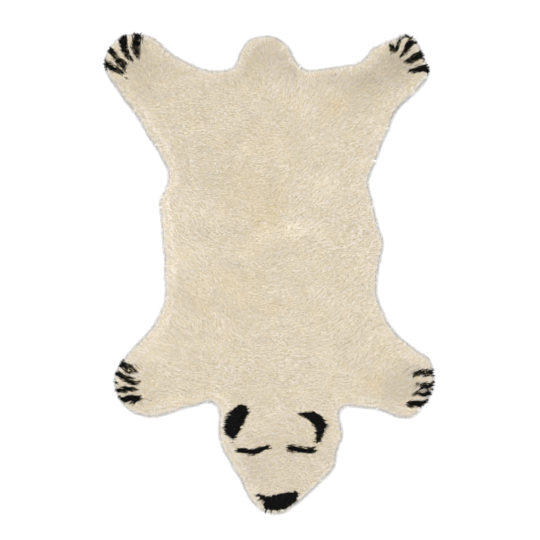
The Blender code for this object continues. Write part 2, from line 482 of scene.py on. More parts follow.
@dataclass
class Furrows:
    """The fine furrows between locks of wool, which run along the line that the ends lie on."""

    low: Array
    high: Array
    heading: Callable[[Array], Array]
    rng: np.random.Generator
    cell: float = 3.0 * MM
    steps: int = 6
    margin: float = 10 * MM

    def __post_init__(self) -> None:
        """Smears grains of noise along the laid line, so that they join into furrows."""
        self.origin = self.low - self.margin
        columns, rows = np.ceil((self.high + self.margin - self.origin) / self.cell).astype(int)
        row, column = np.mgrid[0:rows, 0:columns]
        places = self.origin + self.cell * np.stack((column.ravel(), row.ravel()), axis=1)
        way = unit(self.heading(places)).reshape(rows, columns, 2)
        grain = self.rng.normal(size=(rows, columns))
        total = grain.copy()
        for first in (way, -way):
            last, spot = first, np.stack((column, row), axis=-1) + first
            for _ in range(self.steps):
                x = np.clip(np.rint(spot[..., 0]).astype(int), 0, columns - 1)
                y = np.clip(np.rint(spot[..., 1]).astype(int), 0, rows - 1)
                total += grain[y, x]
                here = way[y, x]
                last = here * np.where((here * last).sum(axis=-1) < 0, -1.0, 1.0)[..., None]
                spot = spot + last
        # Each cell takes a quarter of either neighbour, which rounds the furrows.
        for axis in (0, 1):
            total = (np.roll(total, 1, axis) + 2 * total + np.roll(total, -1, axis)) / 4
        self.relief = total / total.std()

    def at(self, points: Array) -> Array:
        """Reads the relief between its cells.

        Args:
            points: Rows of x and y.

        Returns:
            The relief at each, about 0 with a spread of 1, and lowest in the furrows.
        """
        spot = (points - self.origin) / self.cell
        limit = np.array(self.relief.shape[::-1]) - 2
        base = np.clip(np.floor(spot).astype(int), 0, limit)
        (x, y), (u, v) = base.T, np.clip(spot - base, 0, 1).T
        lower = self.relief[y, x] * (1 - u) + self.relief[y, x + 1] * u
        upper = self.relief[y + 1, x] * (1 - u) + self.relief[y + 1, x + 1] * u
        return lower * (1 - v) + upper * v


class MarkField:
    """Which places of the pile are black."""

    def __init__(self, marks: dict[Place, tuple[Stroke, ...]]) -> None:
        """Splits the marks' strokes into straight stretches.

        Args:
            marks: The strokes of each place's marks.
        """
        self.stretches = [
            (number, np.array(start), np.array(end))
            for number, place in enumerate(Place)
            for stroke in marks[place]
            for start, end in zip(stroke, stroke[1:])
        ]

    def depth(self, points: Array) -> tuple[Array, Array]:
        """How far inside the nearest mark each point lies, and where that mark is.

        Args:
            points: Rows of x and y.

        Returns:
            The depth of each point, below 0 outside, and the place's number in Place.
        """
        depth, place = np.full(len(points), -np.inf), np.zeros(len(points), int)
        for number, start, end in self.stretches:
            origin = start[:2] * MM
            span = end[:2] * MM - origin
            share = np.clip((points - origin) @ span / (span @ span), 0, 1)
            radius = (start[2] + (end[2] - start[2]) * share) * MM / 2
            here = radius - np.linalg.norm(points - origin - share[:, None] * span, axis=1)
            better = here > depth
            depth[better], place[better] = here[better], number
        return depth, place


def patch_tones(points: Array) -> tuple[Array, Array]:
    """The lightness and warmth that the patches give the cream wool.

    Args:
        points: Rows of x and y.

    Returns:
        The two values for each row, about -1 to 1.
    """
    light, warm = np.zeros(len(points)), np.zeros(len(points))
    for patch in PATCHES:
        away = turned(points / MM - (patch.x, patch.y), -math.radians(patch.turned_deg))
        fade = np.exp(-((away[:, 0] / patch.half_x) ** 2) - (away[:, 1] / patch.half_y) ** 2)
        light += patch.light * fade
        warm += patch.warm * fade
    return light, warm


@dataclass
class NodeWriter:
    """Adds nodes to a tree, with their settings, values and links in one call each."""

    tree: bpy.types.NodeTree

    def add(self, kind: str, values: dict[int | str, Any] | None = None, **settings: Any) -> bpy.types.Node:
        """Adds one node.

        Args:
            kind: The node's type name.
            values: What goes into its inputs, by index, identifier or name: an output to link, or a value.
            settings: The node's own properties.

        Returns:
            The node.
        """
        node = self.tree.nodes.new(kind)
        for name, setting in settings.items():
            setattr(node, name, setting)
        for key, value in (values or {}).items():
            socket = self._input(node, key)
            if isinstance(value, bpy.types.NodeSocket):
                self.tree.links.new(value, socket)
            else:
                socket.default_value = value
        return node

    @staticmethod
    def _input(node: bpy.types.Node, key: int | str) -> bpy.types.NodeSocket:
        """Finds an input.

        Args:
            node: The node that has it.
            key: Its index, identifier or name.

        Returns:
            The input.
        """
        if isinstance(key, int):
            return node.inputs[key]
        found = [s for s in node.inputs if s.identifier == key] or [s for s in node.inputs if s.name == key]
        return found[0]

    def first(self, kind: str, values: dict[int | str, Any] | None = None, **settings: Any) -> Socket:
        """The first output of one more node."""
        return self.add(kind, values, **settings).outputs[0]

    def math(self, operation: str, *operands: Any) -> Socket:
        """The result of one arithmetic step on values or outputs."""
        return self.first("ShaderNodeMath", dict(enumerate(operands)), operation=operation)

    def vector_math(self, operation: str, *operands: Any) -> Socket:
        """The result of one step on vectors."""
        return self.first("ShaderNodeVectorMath", dict(enumerate(operands)), operation=operation)

    def scaled(self, vector: Socket, share: Any) -> Socket:
        """A vector or colour times a number."""
        return self.first("ShaderNodeVectorMath", {0: vector, "Scale": share}, operation="SCALE")

    def mixed(self, share: Any, a: Any, b: Any) -> Socket:
        """Mixes two colours.

        Args:
            share: How much of the second colour shows, from 0 to 1.
            a: The first colour.
            b: The second colour.

        Returns:
            The mixed colour.
        """
        values = {"Factor_Float": share, "A_Color": a, "B_Color": b}
        mixer = self.add("ShaderNodeMix", values, data_type="RGBA", clamp_factor=True)
        return next(s for s in mixer.outputs if s.identifier == "Result_Color")

    def surface(self, values: dict[int | str, Any]) -> None:
        """Ends a material's tree in one surface with the given inputs."""
        self.add("ShaderNodeOutputMaterial", {"Surface": self.first("ShaderNodeBsdfPrincipled", values)})


def new_material(name: str) -> tuple[bpy.types.Material, NodeWriter]:
    """Makes a material without nodes.

    Args:
        name: The material's name.

    Returns:
        The material, and a writer for its nodes.
    """
    made = bpy.data.materials.new(name)
    made.use_nodes = True
    made.node_tree.nodes.clear()
    return made, NodeWriter(made.node_tree)


@dataclass(frozen=True)
class WoolFinish:
    """The surface of one yarn: its colours, with painted shade and painted light in the hollows between its
    ends, its soft sheen and the fibres on it.
    """

    name: str
    base: Colour
    warm: Colour
    grey: Colour
    light_swing: float
    root_shade: float
    # The hollow values paint shade as gold in the hollows between the ends, and paint light there against
    # their shade.
    hollow_gold: float
    hollow_fill: float
    fibre_gold: float
    roughness: float
    sheen: float
    sheen_roughness: float
    specular: float
    hollow_reach: float = 5 * MM
    hollow_open: float = 0.75
    hollow_samples: int = 8
    lift: float = 0.75
    fibre_size: float = 1.3 * MM
    fibre_detail: float = 1.5
    fibre_contrast: float = 0.6
    fibre_depth: float = 0.5 * MM
    fibre_relief: float = 0.3
    fibre_swing: float = 0.05

    def material(self) -> bpy.types.Material:
        """Builds the material, which reads the strands' attributes light, warm, grey and along.

        Returns:
            The material.
        """
        made, nodes = new_material(self.name)
        grain = {
            "Vector": nodes.add("ShaderNodeTexCoord").outputs["Object"],
            "Scale": 1 / self.fibre_size,
            "Detail": self.fibre_detail,
            "Roughness": self.fibre_contrast,
        }
        fibre = nodes.add("ShaderNodeTexNoise", grain).outputs["Fac"]
        nodes.surface(
            {
                "Base Color": self._colour(nodes, fibre),
                "Roughness": self.roughness,
                "Specular IOR Level": self.specular,
                "Sheen Weight": self.sheen,
                "Sheen Roughness": self.sheen_roughness,
                "Normal": self._normal(nodes, fibre),
            }
        )
        return made

    def _colour(self, nodes: NodeWriter, fibre: Socket) -> Socket:
        """Wool is painted palest where it is open to the light, and golden as painted shade in the hollows
        between the ends, which are painted lighter as well, against their shade.

        Args:
            nodes: The writer of the material's nodes.
            fibre: The noise that stands for the fibres.

        Returns:
            The colour.
        """
        light, warm, grey, along = (
            nodes.add("ShaderNodeAttribute", attribute_name=name).outputs["Fac"]
            for name in ("light", "warm", "grey", "along")
        )
        reach = {"Distance": self.hollow_reach}
        painted_shade_openness = nodes.add("ShaderNodeAmbientOcclusion", reach, samples=self.hollow_samples).outputs["AO"]
        # Painted shade and painted light: an occlusion node finds the hollows between the ends, which turn
        # golden and lighter.
        hollow = nodes.math("SUBTRACT", self.hollow_open, painted_shade_openness)
        painted_hollow_shade = nodes.math("MULTIPLY", hollow, self.hollow_gold)
        from_fibre = nodes.math("MULTIPLY", nodes.math("SUBTRACT", 0.5, fibre), self.fibre_gold)
        gold = nodes.math("ADD", nodes.math("ADD", warm, painted_hollow_shade), from_fibre)
        warmed = nodes.mixed(gold, (*self.base, 1), (*self.warm, 1))
        greyed = nodes.mixed(grey, warmed, (*self.grey, 1))
        lit = nodes.math("MULTIPLY_ADD", light, self.light_swing, 1.0)
        fuzz = nodes.math("MULTIPLY_ADD", fibre, self.fibre_swing, 1.0 - self.fibre_swing / 2)
        # Painted shade: each end is darker towards its root.
        rooted = nodes.first("ShaderNodeMapRange", {"Value": along, "To Min": self.root_shade, "To Max": 1.0})
        painted_hollow_gain = nodes.math("ADD", nodes.math("MULTIPLY", hollow, self.hollow_fill), 1.0)
        open_strength = nodes.math("MULTIPLY", lit, fuzz)
        strength = nodes.math("MULTIPLY", open_strength, nodes.math("MULTIPLY", rooted, painted_hollow_gain))
        return nodes.scaled(greyed, strength)

    def _normal(self, nodes: NodeWriter, fibre: Socket) -> Socket:
        """Yarn ends are rounder to the light than three sides make them, so their normals are lifted.

        Args:
            nodes: The writer of the material's nodes.
            fibre: The noise that stands for the fibres.

        Returns:
            The lifted normal, with the fibres as a fine relief.
        """
        facing = nodes.add("ShaderNodeNewGeometry").outputs["Normal"]
        lifted = nodes.vector_math("ADD", nodes.scaled(facing, 1 - self.lift), (0.0, 0.0, self.lift))
        relief = {
            "Strength": self.fibre_relief,
            "Distance": self.fibre_depth,
            "Height": fibre,
            "Normal": nodes.vector_math("NORMALIZE", lifted),
        }
        return nodes.first("ShaderNodeBump", relief)


FINISHES = {
    Yarn.CREAM: WoolFinish(
        name="cream wool",
        base=(0.80, 0.77, 0.73),
        warm=(0.82, 0.68, 0.434),
        grey=(0.88, 0.86, 0.83),
        light_swing=0.12,
        root_shade=0.93,
        hollow_gold=2.5,
        hollow_fill=0.8,
        fibre_gold=0.25,
        roughness=0.92,
        sheen=0.12,
        sheen_roughness=0.5,
        specular=0.15,
    ),
    Yarn.BLACK: WoolFinish(
        name="black wool",
        base=(0.008, 0.008, 0.0088),
        warm=(0.006, 0.0055, 0.0055),
        grey=(0.006, 0.0065, 0.0075),
        light_swing=0.3,
        root_shade=0.6,
        hollow_gold=1.0,
        hollow_fill=0.0,
        fibre_gold=0.5,
        roughness=0.8,
        sheen=0.0,
        sheen_roughness=0.4,
        specular=0.03,
    ),
}


@dataclass(frozen=True)
class ClothFinish:
    """The plain weave of the ground cloth, with its threads as ridges and painted shade in the gaps between
    them.
    """

    name: str = "woven ground cloth"
    thread: Colour = (0.66, 0.60, 0.49)
    # The gap colour is painted shade in the low gaps between the threads.
    gap: Colour = (0.30, 0.26, 0.20)
    gap_below: float = 0.25
    thread_above: float = 0.85
    pitch: float = 3.2 * MM
    wander_over: float = 9.0
    fluff_scale: float = 900.0
    fluff_detail: float = 3.0
    fluff_share: float = 0.5
    depth: float = 0.5 * MM
    relief: float = 0.8
    roughness: float = 0.9
    specular: float = 0.2
    sheen: float = 0.1

    def material(self) -> bpy.types.Material:
        """Builds the material from two sets of threads that pass over each other in turn.

        Returns:
            The material.
        """
        made, nodes = new_material(self.name)
        place = nodes.add("ShaderNodeTexCoord").outputs["Object"]
        slow = {"Vector": place, "Scale": 1 / (self.wander_over * self.pitch)}
        wander = nodes.add("ShaderNodeTexNoise", slow).outputs["Color"]
        offset = nodes.vector_math("MULTIPLY_ADD", wander, (self.pitch,) * 3, place)
        split = nodes.add("ShaderNodeSeparateXYZ", {0: offset}).outputs
        waves = (nodes.math("MULTIPLY", split[axis], math.pi / self.pitch) for axis in (0, 1))
        round_x, round_y = (nodes.math("ABSOLUTE", nodes.math("SINE", wave)) for wave in waves)
        squares = {"Vector": offset, "Scale": 1 / self.pitch, "Color1": (1,) * 4, "Color2": (0, 0, 0, 1)}
        over = nodes.add("ShaderNodeTexChecker", squares).outputs["Fac"]
        height = nodes.first("ShaderNodeMix", {"Factor_Float": over, "A_Float": round_x, "B_Float": round_y})
        fine = {"Vector": place, "Scale": self.fluff_scale, "Detail": self.fluff_detail}
        fluff = nodes.add("ShaderNodeTexNoise", fine).outputs["Fac"]
        relief = nodes.math("ADD", height, nodes.math("MULTIPLY", fluff, self.fluff_share))
        # Painted shade: the weave takes its colour from its own relief, darkest in the low gaps.
        relief_painted_shade = nodes.add("ShaderNodeValToRGB", {"Fac": relief})
        low, high = relief_painted_shade.color_ramp.elements
        low.position, low.color = self.gap_below, (*self.gap, 1)
        high.position, high.color = self.thread_above, (*self.thread, 1)
        ridges = {"Strength": self.relief, "Distance": self.depth, "Height": relief}
        nodes.surface(
            {
                "Base Color": relief_painted_shade.outputs[0],
                "Roughness": self.roughness,
                "Specular IOR Level": self.specular,
                "Sheen Weight": self.sheen,
                "Normal": nodes.first("ShaderNodeBump", ridges),
            }
        )
        return made


def new_object(name: str, mesh: bpy.types.Mesh) -> bpy.types.Object:
    """Puts a mesh in the scene under a name, at the origin.

    Args:
        name: The object's name, which its mesh takes too.
        mesh: The mesh.

    Returns:
        The object.
    """
    mesh.name = name
    made = bpy.data.objects.new(name, mesh)
    bpy.context.scene.collection.objects.link(made)
    return made


def write_attribute(mesh: bpy.types.Mesh, name: str, values: Array) -> None:
    """Stores one number or one vector for each of a mesh's points.

    Args:
        mesh: The mesh.
        name: The attribute's name.
        values: One row for each point.
    """
    is_vector = values.ndim == 2
    made = mesh.attributes.new(name, "FLOAT_VECTOR" if is_vector else "FLOAT", "POINT")
    made.data.foreach_set("vector" if is_vector else "value", values.astype(np.float32).ravel())


def report(piece: bpy.types.Object) -> None:
    """Logs a finished piece with its number of triangles."""
    piece.data.calc_loop_triangles()
    log.info("%s: %d triangles", piece.name, len(piece.data.loop_triangles))


@dataclass
class GroundCloth:
    """The woven cloth that the pile stands on: a thin closed sheet in the rug's outline."""

    shape: RugShape
    inset: float = 12 * MM
    thickness: float = 2.6 * MM
    rounding: float = 0.7 * MM
    net_step: float = 50 * MM
    net_jitter: float = 0.1
    finish: ClothFinish = field(default_factory=ClothFinish)

    def build(self) -> bpy.types.Object:
        """Makes the sheet.

        Returns:
            Its object.
        """
        levels = (
            (self.inset + self.rounding, 0.0),
            (self.inset, self.rounding),
            (self.inset, self.thickness - self.rounding),
            (self.inset + self.rounding, self.thickness),
        )
        mesh = bmesh.new()
        rings = [[mesh.verts.new((*p, z)) for p in self.shape.inset(inset)] for inset, z in levels]
        count = len(rings[0])
        for lower, upper in zip(rings, rings[1:]):
            for i in range(count):
                after = (i + 1) % count
                mesh.faces.new((lower[i], lower[after], upper[after], upper[i]))
        self._fill(mesh, rings[0], levels[0][1], faces_up=False)
        self._fill(mesh, rings[-1], levels[-1][1], faces_up=True)
        data = bpy.data.meshes.new("ground_cloth")
        mesh.to_mesh(data)
        mesh.free()
        data.materials.append(self.finish.material())
        return new_object("ground_cloth", data)

    def _fill(
        self, mesh: bmesh.types.BMesh, ring: list[bmesh.types.BMVert], level: float, faces_up: bool
    ) -> None:
        """Covers the inside of a ring with a net of triangles.

        Args:
            mesh: The mesh that gets the faces.
            ring: The ring's vertices, counter-clockwise from above.
            level: Its height.
            faces_up: Whether the triangles face up.
        """
        rng = np.random.default_rng(SEED)
        inner = net_points(self.shape.low, self.shape.high, self.net_step, self.net_jitter, rng)
        distance, _ = self.shape.edge(inner)
        inner = inner[distance > self.inset + self.net_step / 2]
        points = [v.co.xy for v in ring] + [Vector(p) for p in inner]
        border = list(range(len(ring)))
        edges = [(i, (i + 1) % len(ring)) for i in border]
        triangles = delaunay_2d_cdt(points, edges, [border], INSIDE_ONLY, SAME_POINT)[2]
        verts = ring + [mesh.verts.new((*p, level)) for p in inner]
        for corners in triangles:
            order = corners if faces_up else corners[::-1]
            mesh.faces.new([verts[i] for i in order])

    def flat_area(self) -> float:
        """Works out the area of the cloth's outline.

        Returns:
            Square metres.
        """
        ring = self.shape.inset(self.inset)
        after = np.roll(ring, -1, axis=0)
        return float((ring[:, 0] * after[:, 1] - ring[:, 1] * after[:, 0]).sum() / 2)

    def flat_size(self) -> tuple[float, float]:
        """Measures the piece that the cloth was cut from.

        Returns:
            Its width and length in metres.
        """
        ring = self.shape.inset(self.inset)
        width, length = ring.max(axis=0) - ring.min(axis=0)
        return float(width), float(length)


@dataclass
class LowerPile:
    """The dense lower part of the pile, which carries the free ends and is seen only between them, painted
    darker and golden as the shade between them.
    """

    shape: RugShape
    marks: MarkField
    floor_level: float = 2.0 * MM
    height_share: float = 0.84
    drawn_in: float = 8.0 * MM
    drawn_in_over: float = 34 * MM
    top_slope: float = 0.8
    cuts: int = 3
    mark_cuts: int = 2
    mark_reach: float = 9 * MM
    mark_fade: tuple[float, float] = (-0.5 * MM, 1.5 * MM)
    lumps: Drift = Drift(0.8 * MM, 9 * MM, 3.1)
    # Painted shade: inside the rim the lower pile is coloured darker and golden, as the gaps between the free
    # ends look, and less so near the rim.
    light: float = -2.2
    black: float = -8.3
    warm: float = 1.0
    rim: tuple[float, float] = (6 * MM, 34 * MM)
    rim_light: float = -0.2
    rim_warm: float = 0.3
    along: float = 0.15

    def level(self, points: Array) -> Array:
        """The height of the lower pile's top at plane points, without its lumps."""
        return self.floor_level + self.height_share * (self.shape.top(points) - self.floor_level)

    def build(self, material: bpy.types.Material) -> bpy.types.Object:
        """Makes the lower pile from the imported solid, drawn in and lowered, with a lumpy top.

        Args:
            material: The cream wool.

        Returns:
            Its object.
        """
        mesh = self.shape.solid.copy()
        edges = {e for f in mesh.faces if f.normal.z > self.top_slope for e in f.edges}
        self._cut(mesh, list(edges), self.cuts)
        mesh.verts.index_update()
        is_marked = self._marked(np.array([v.co for v in mesh.verts]))
        marked = [e for e in mesh.edges if all(is_marked[v.index] for v in e.verts)]
        self._cut(mesh, marked, self.mark_cuts)
        places = np.array([v.co for v in mesh.verts])
        distance, outward = self.shape.edge(places[:, :2])
        inward = self.drawn_in * (1 - np.clip(distance / self.drawn_in_over, 0, 1))
        plan = places[:, :2] - outward * inward[:, None]
        height = self.floor_level + self.height_share * places[:, 2]
        lumps = self.lumps.at(plan)
        height += np.where(places[:, 2] > self.shape.edge_level, lumps, 0.0)
        for vert, (x, y), z in zip(mesh.verts, plan, height):
            vert.co = (x, y, z)
        data = bpy.data.meshes.new("pile_lower")
        mesh.to_mesh(data)
        mesh.free()
        data.shade_smooth()
        self._tone(data, plan, distance, lumps / self.lumps.swing)
        data.materials.append(material)
        return new_object("pile_lower", data)

    @staticmethod
    def _cut(mesh: bmesh.types.BMesh, edges: list[bmesh.types.BMEdge], cuts: int) -> None:
        """Gives each edge a number of cuts, and leaves only triangles."""
        bmesh.ops.subdivide_edges(mesh, edges=edges, cuts=cuts, use_grid_fill=True)
        bmesh.ops.triangulate(mesh, faces=mesh.faces)

    def _marked(self, places: Array) -> Array:
        """Which points of the top lie under a mark or close to one, where its colour needs a clear edge."""
        near = self.marks.depth(places[:, :2])[0] > -self.mark_reach
        return near & (places[:, 2] > self.shape.edge_level)

    def _tone(self, data: bpy.types.Mesh, plan: Array, distance: Array, lump_painted_light: Array) -> None:
        """Writes the attributes that the cream wool reads: painted shade and gold away from the rim, painted
        light on the higher lumps and painted shade on the lower ones, and the places under the marks dark.

        Args:
            data: The finished mesh.
            plan: The x and y of its points.
            distance: How far inside the outline each point lay before it was drawn in.
            lump_painted_light: How much lighter or darker the lumps make each point.
        """
        black = smooth_step(self.marks.depth(plan)[0], *self.mark_fade)
        deep = smooth_step(distance, *self.rim)
        # Painted shade away from the rim; the lumps are painted lighter where they stand higher and darker
        # where they are lower.
        cream = self.rim_light + (self.light - self.rim_light) * deep + lump_painted_light
        write_attribute(data, "light", cream + (self.black - cream) * black)
        write_attribute(data, "along", np.full(len(plan), self.along))
        write_attribute(data, "warm", self.rim_warm + (self.warm - self.rim_warm) * deep)


@dataclass
class Strands:
    """Yarn ends before they are shaped: where each is rooted, how it bends and what it looks like."""

    root: Array
    knee: Array
    tip: Array
    width: Array
    light: Array
    warm: Array
    grey: Array

    def chosen(self, which: Array) -> "Strands":
        """Only the strands that a mask or an order of numbers picks."""
        return Strands(*(getattr(self, name)[which] for name in self.__dataclass_fields__))

    @staticmethod
    def joined(groups: list["Strands"]) -> "Strands":
        """Several groups as one."""
        names = Strands.__dataclass_fields__
        return Strands(*(np.concatenate([getattr(g, name) for g in groups]) for name in names))


@dataclass
class StrandTree:
    """The geometry nodes that turn each root point into a tapering, bent, closed strand."""

    segments: int = 2
    sides: int = 3
    belly: float = 0.18
    weld: float = 1e-7
    tip_from: float = 0.99
    cell_margin: float = 0.1
    sides_to: float = 0.75
    cap_from: float = 0.83
    looks: tuple[str, ...] = ("light", "warm", "grey")

    def __post_init__(self) -> None:
        """Builds the tree once for all pieces."""
        self.tree = self._build()

    def _build(self) -> bpy.types.GeometryNodeTree:
        """Writes the node tree.

        Returns:
            The tree, whose inputs are the roots, the counts, the taper, the seed and the wool.
        """
        tree = bpy.data.node_groups.new("yarn ends", "GeometryNodeTree")
        tree.is_modifier = True
        sockets = (
            ("Roots", "INPUT", "Geometry"),
            ("Segments", "INPUT", "Int"),
            ("Sides", "INPUT", "Int"),
            ("Belly", "INPUT", "Float"),
            ("Weld", "INPUT", "Float"),
            ("Twist Seed", "INPUT", "Int"),
            ("Wool", "INPUT", "Material"),
            ("Strands", "OUTPUT", "Geometry"),
        )
        for name, direction, kind in sockets:
            tree.interface.new_socket(name, in_out=direction, socket_type="NodeSocket" + kind)
        nodes = NodeWriter(tree)
        given = nodes.add("NodeGroupInput").outputs
        curves = self._lines(nodes, given)
        along = self._named(nodes, "along", "FLOAT")
        circle = {"Resolution": given["Sides"], "Radius": 0.5}
        ring = nodes.first("GeometryNodeCurvePrimitiveCircle", circle, mode="RADIUS")
        swell = nodes.math("ADD", 1.0, nodes.math("MULTIPLY", given["Belly"], along))
        left = nodes.math("SUBTRACT", 1.0, nodes.math("MULTIPLY", along, along))
        width = self._named(nodes, "width", "FLOAT")
        taper = nodes.math("MULTIPLY", width, nodes.math("MULTIPLY", swell, left))
        sweep = {"Curve": curves, "Profile Curve": ring, "Scale": taper, "Fill Caps": True}
        tubes = nodes.first("GeometryNodeCurveToMesh", sweep)
        at_tip = nodes.first("FunctionNodeCompare", {0: along, 1: self.tip_from}, operation="GREATER_THAN")
        merge = {"Geometry": tubes, "Selection": at_tip, "Distance": given["Weld"]}
        pointed = nodes.first("GeometryNodeMergeByDistance", merge)
        smooth = nodes.first("GeometryNodeSetShadeSmooth", {"Geometry": pointed})
        real = nodes.first("GeometryNodeRealizeInstances", {"Geometry": smooth})
        dressed = nodes.first("GeometryNodeSetMaterial", {"Geometry": real, "Material": given["Wool"]})
        nodes.add("NodeGroupOutput", {"Strands": dressed})
        return tree

    @staticmethod
    def _named(nodes: NodeWriter, name: str, kind: str) -> Socket:
        """A named attribute of the geometry."""
        return nodes.first("GeometryNodeInputNamedAttribute", {"Name": name}, data_type=kind)

    def _lines(self, nodes: NodeWriter, given: Any) -> Socket:
        """Writes the nodes that bend one line of points for each root, from the root by the knee to the tip.

        Args:
            nodes: The writer of the tree's nodes.
            given: The tree's inputs.

        Returns:
            The lines, each turned about itself by a random angle.
        """

        def stored(geometry: Socket, name: str, kind: str, value: Socket) -> Socket:
            """The geometry with a value kept under a name."""
            values = {"Geometry": geometry, "Name": name, "Value": value}
            return nodes.first("GeometryNodeStoreNamedAttribute", values, data_type=kind)

        roots = nodes.first("GeometryNodeMeshToPoints", {"Mesh": given["Roots"]})
        numbered = stored(roots, "strand", "INT", nodes.first("GeometryNodeInputIndex"))
        copies = {"Geometry": numbered, "Amount": nodes.math("ADD", given["Segments"], 1.0)}
        copied = nodes.add("GeometryNodeDuplicateElements", copies, domain="POINT").outputs
        points = stored(copied[0], "along", "FLOAT", nodes.math("DIVIDE", copied[1], given["Segments"]))
        along = self._named(nodes, "along", "FLOAT")
        left = nodes.math("SUBTRACT", 1.0, along)
        knee_share = nodes.math("MULTIPLY", nodes.math("MULTIPLY", along, left), 2.0)
        knee = nodes.scaled(self._named(nodes, "knee", "FLOAT_VECTOR"), knee_share)
        tip = nodes.scaled(self._named(nodes, "tip", "FLOAT_VECTOR"), nodes.math("MULTIPLY", along, along))
        move = {"Geometry": points, "Offset": nodes.vector_math("ADD", knee, tip)}
        bent = nodes.first("GeometryNodeSetPosition", move)
        strand = self._named(nodes, "strand", "INT")
        order = {"Points": bent, "Curve Group ID": strand, "Weight": along}
        curves = nodes.first("GeometryNodePointsToCurves", order)
        turns = {"Min_001": 0.0, "Max_001": math.tau, "ID": strand, "Seed": given["Twist Seed"]}
        twist = nodes.add("FunctionNodeRandomValue", turns, data_type="FLOAT").outputs[1]
        return nodes.first("GeometryNodeSetCurveTilt", {"Curve": curves, "Tilt": twist})

    def grow(self, name: str, strands: Strands, wool: bpy.types.Material) -> bpy.types.Object:
        """Makes one piece of pile.

        Args:
            name: The piece's name.
            strands: Its yarn ends.
            wool: Their material.

        Returns:
            The piece, a plain mesh with its own map.
        """
        roots = bpy.data.meshes.new(name + " roots")
        roots.vertices.add(len(strands.root))
        roots.vertices.foreach_set("co", strands.root.astype(np.float32).ravel())
        for attribute in ("knee", "tip", "width", *self.looks):
            write_attribute(roots, attribute, getattr(strands, attribute))
        source = new_object(name + " roots", roots)
        maker = source.modifiers.new("yarn ends", "NODES")
        maker.node_group = self.tree
        inputs = {
            "Segments": self.segments,
            "Sides": self.sides,
            "Belly": self.belly,
            "Weld": self.weld,
            "Twist Seed": SEED,
            "Wool": wool,
        }
        for socket in self.tree.interface.items_tree:
            if socket.name in inputs:
                maker[socket.identifier] = inputs[socket.name]
        graph = bpy.context.evaluated_depsgraph_get()
        grown = bpy.data.meshes.new_from_object(source.evaluated_get(graph), depsgraph=graph)
        source.modifiers.remove(maker)
        bpy.data.objects.remove(source)
        bpy.data.meshes.remove(roots)
        kept = {*self.looks, "along"}
        extra = [a for a in grown.attributes if a.domain == "POINT" and a.name not in kept]
        for helper in [a.name for a in extra if not a.is_required and not a.is_internal]:
            grown.attributes.remove(grown.attributes[helper])
        self._map(grown)
        return new_object(name, grown)

    def _map(self, mesh: bpy.types.Mesh) -> None:
        """Gives each strand a cell of the piece's map, round it in one way and along it in the other.

        Args:
            mesh: The grown piece, whose strands follow each other with equal numbers of vertices.
        """
        corners = np.empty(len(mesh.loops), np.int64)
        mesh.loops.foreach_get("vertex_index", corners)
        sizes = np.empty(len(mesh.polygons), np.int64)
        mesh.polygons.foreach_get("loop_total", sizes)
        face = np.repeat(np.arange(len(sizes)), sizes)
        points_per_strand = self.sides * self.segments + 1
        strand, spot = np.divmod(corners, points_per_strand)
        level, turn = np.divmod(spot, self.sides)
        is_tip = level == self.segments
        last, first, raised = (np.zeros(len(sizes), bool) for _ in range(3))
        np.logical_or.at(last, face, ~is_tip & (turn == self.sides - 1))
        np.logical_or.at(first, face, ~is_tip & (turn == 0))
        np.logical_or.at(raised, face, level > 0)
        # The side that joins the last edge to the first reads the first as one edge further on.
        wraps = (raised & last & first)[face] & (turn == 0) & ~is_tip
        side = np.where(wraps, self.sides, turn).astype(float)
        # On each side the tip lies half way between its two edges.
        lowest = np.full(len(sizes), np.inf)
        np.minimum.at(lowest, face, np.where(is_tip, np.inf, side))
        side = np.where(is_tip, lowest[face] + 0.5, side)
        # The cap at the root is a small triangle above the sides.
        is_cap = ~raised[face]
        cap_across, cap_upward = np.where(turn == 1, 0.5, 0.0), np.where(turn == 2, 1.0, 0.0)
        u = np.where(is_cap, cap_across, side / self.sides)
        cap_v = self.cap_from + (1 - self.cap_from) * cap_upward
        v = np.where(is_cap, cap_v, self.sides_to * level / self.segments)
        cells = math.ceil(math.sqrt(strand.max() + 1))
        row, column = np.divmod(strand, cells)
        spread = 1 - 2 * self.cell_margin
        across, upward = column + self.cell_margin + spread * u, row + self.cell_margin + spread * v
        layer = mesh.uv_layers.new(name="OFBake")
        layer.data.foreach_set("uv", (np.stack((across, upward), axis=1) / cells).astype(np.float32).ravel())


class FringeRow(NamedTuple):
    """A row of yarn ends round the edge: how far inside it is rooted and how high, and where its tips are."""

    inset: float
    root_level: float
    tip_levels: tuple[float, float]


